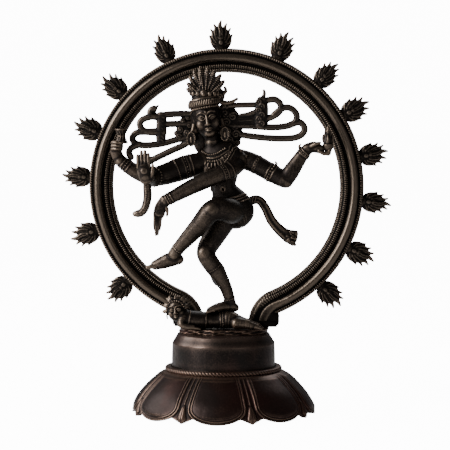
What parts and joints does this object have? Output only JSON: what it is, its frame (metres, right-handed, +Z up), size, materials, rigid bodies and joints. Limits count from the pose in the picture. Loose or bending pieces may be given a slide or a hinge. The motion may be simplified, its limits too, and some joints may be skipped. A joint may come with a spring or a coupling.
{
  "type": "dancing figure statue with flame aureole",
  "caption": "Aged brass figure of a dancer with four arms inside a flame-edged ring, standing on a prone dwarf, a round drum and a hollow lotus base.",
  "frame": {"origin": "centre of the face that the lotus base rests on, on the base's own axis", "axes": "+Z up along the statue's height, -Y the way the figure looks, +X towards the figure's left hand"},
  "size_m": [0.2501, 0.138, 0.2953],
  "materials": {
    "figure_brass": "dark aged patina, worn bright on high points",
    "aureole_brass": "dark aged patina, worn bright along the beading",
    "base_brass": "reddish brown patina, softly polished",
    "fixings_steel": "dull plated"
  },
  "bodies": {
    "statue": {"lotus_base": "base_brass", "beaded_collar": "base_brass", "pedestal_drum": "base_brass", "rock_slab": "base_brass", "clamp_stud": "fixings_steel", "clamp_washer": "fixings_steel", "clamp_nut": "fixings_steel", "dwarf": "figure_brass", "standing_leg": "figure_brass", "raised_leg": "figure_brass", "torso": "figure_brass", "front_right_arm": "figure_brass", "front_left_arm": "figure_brass", "rear_right_arm": "figure_brass", "rear_left_arm": "figure_brass", "head": "figure_brass", "crown_fan": "figure_brass", "right_hair_locks": "figure_brass", "left_hair_locks": "figure_brass", "waist_sash": "figure_brass", "serpent": "figure_brass", "hand_drum": "figure_brass", "hand_flame": "figure_brass"},
    "aureole": {"aureole_ring": "aureole_brass", "flame_01": "aureole_brass", "flame_02": "aureole_brass", "flame_03": "aureole_brass", "flame_04": "aureole_brass", "flame_05": "aureole_brass", "flame_06": "aureole_brass", "flame_07": "aureole_brass", "flame_08": "aureole_brass", "flame_09": "aureole_brass", "flame_10": "aureole_brass", "flame_11": "aureole_brass", "flame_12": "aureole_brass", "flame_13": "aureole_brass", "flame_14": "aureole_brass"}
  },
  "joints": [
    {"name": "aureole_lift", "type": "slide", "parent": "statue", "child": "aureole", "axis": [0, 0, 1], "range_m": [0, 0.012]}
  ]
}
